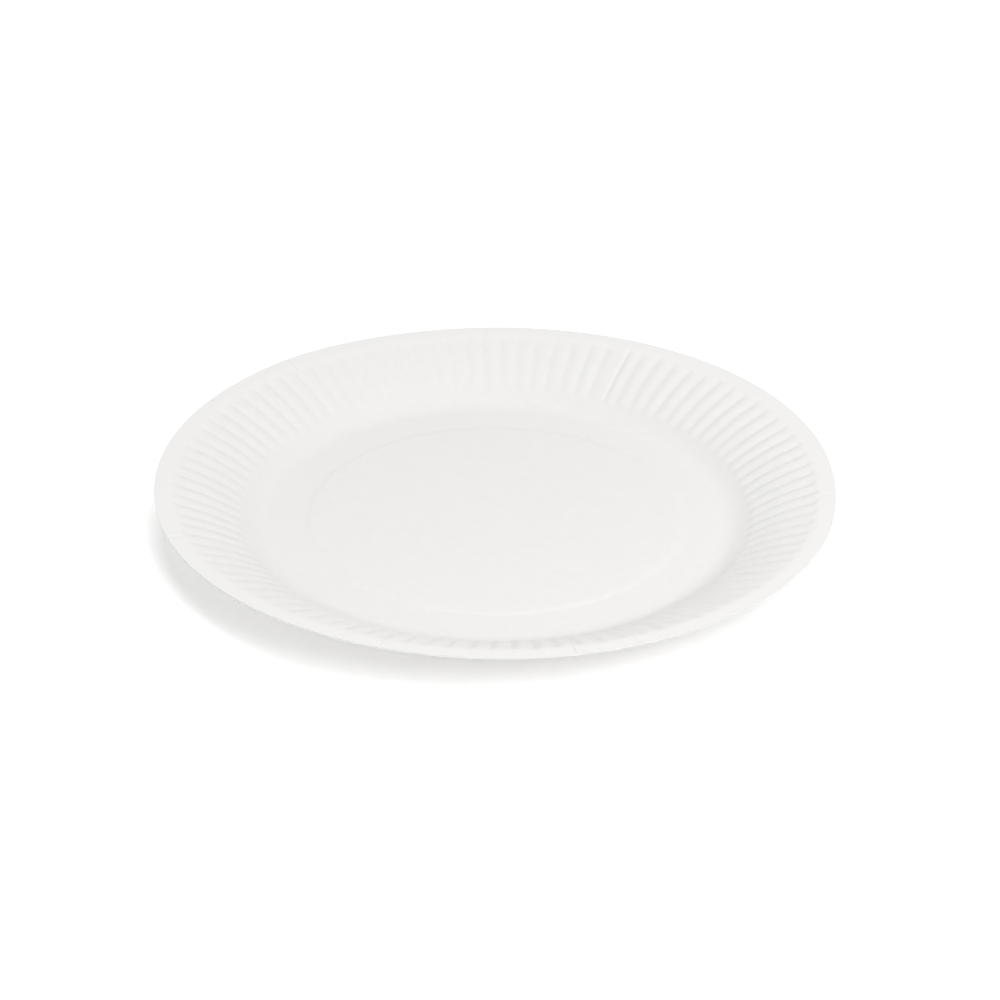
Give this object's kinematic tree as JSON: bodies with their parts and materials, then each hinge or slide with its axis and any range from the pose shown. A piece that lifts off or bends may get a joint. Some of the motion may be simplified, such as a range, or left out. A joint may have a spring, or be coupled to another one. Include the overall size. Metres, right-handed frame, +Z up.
{
  "type": "paper plate",
  "caption": "Round disposable plate pressed from one sheet of white board, with a shallow well, a fluted sloping wall and a plain lip.",
  "frame": {"origin": "middle of the plate at the level of the surface it stands on", "axes": "+Z up along the plate's axis; +X and +Y level, +X to the right in the picture"},
  "size_m": [0.23, 0.23, 0.0163],
  "materials": {
    "paper_board": "matt white uncoated board"
  },
  "bodies": {
    "root": {"plate": "paper_board"}
  },
  "joints": []
}
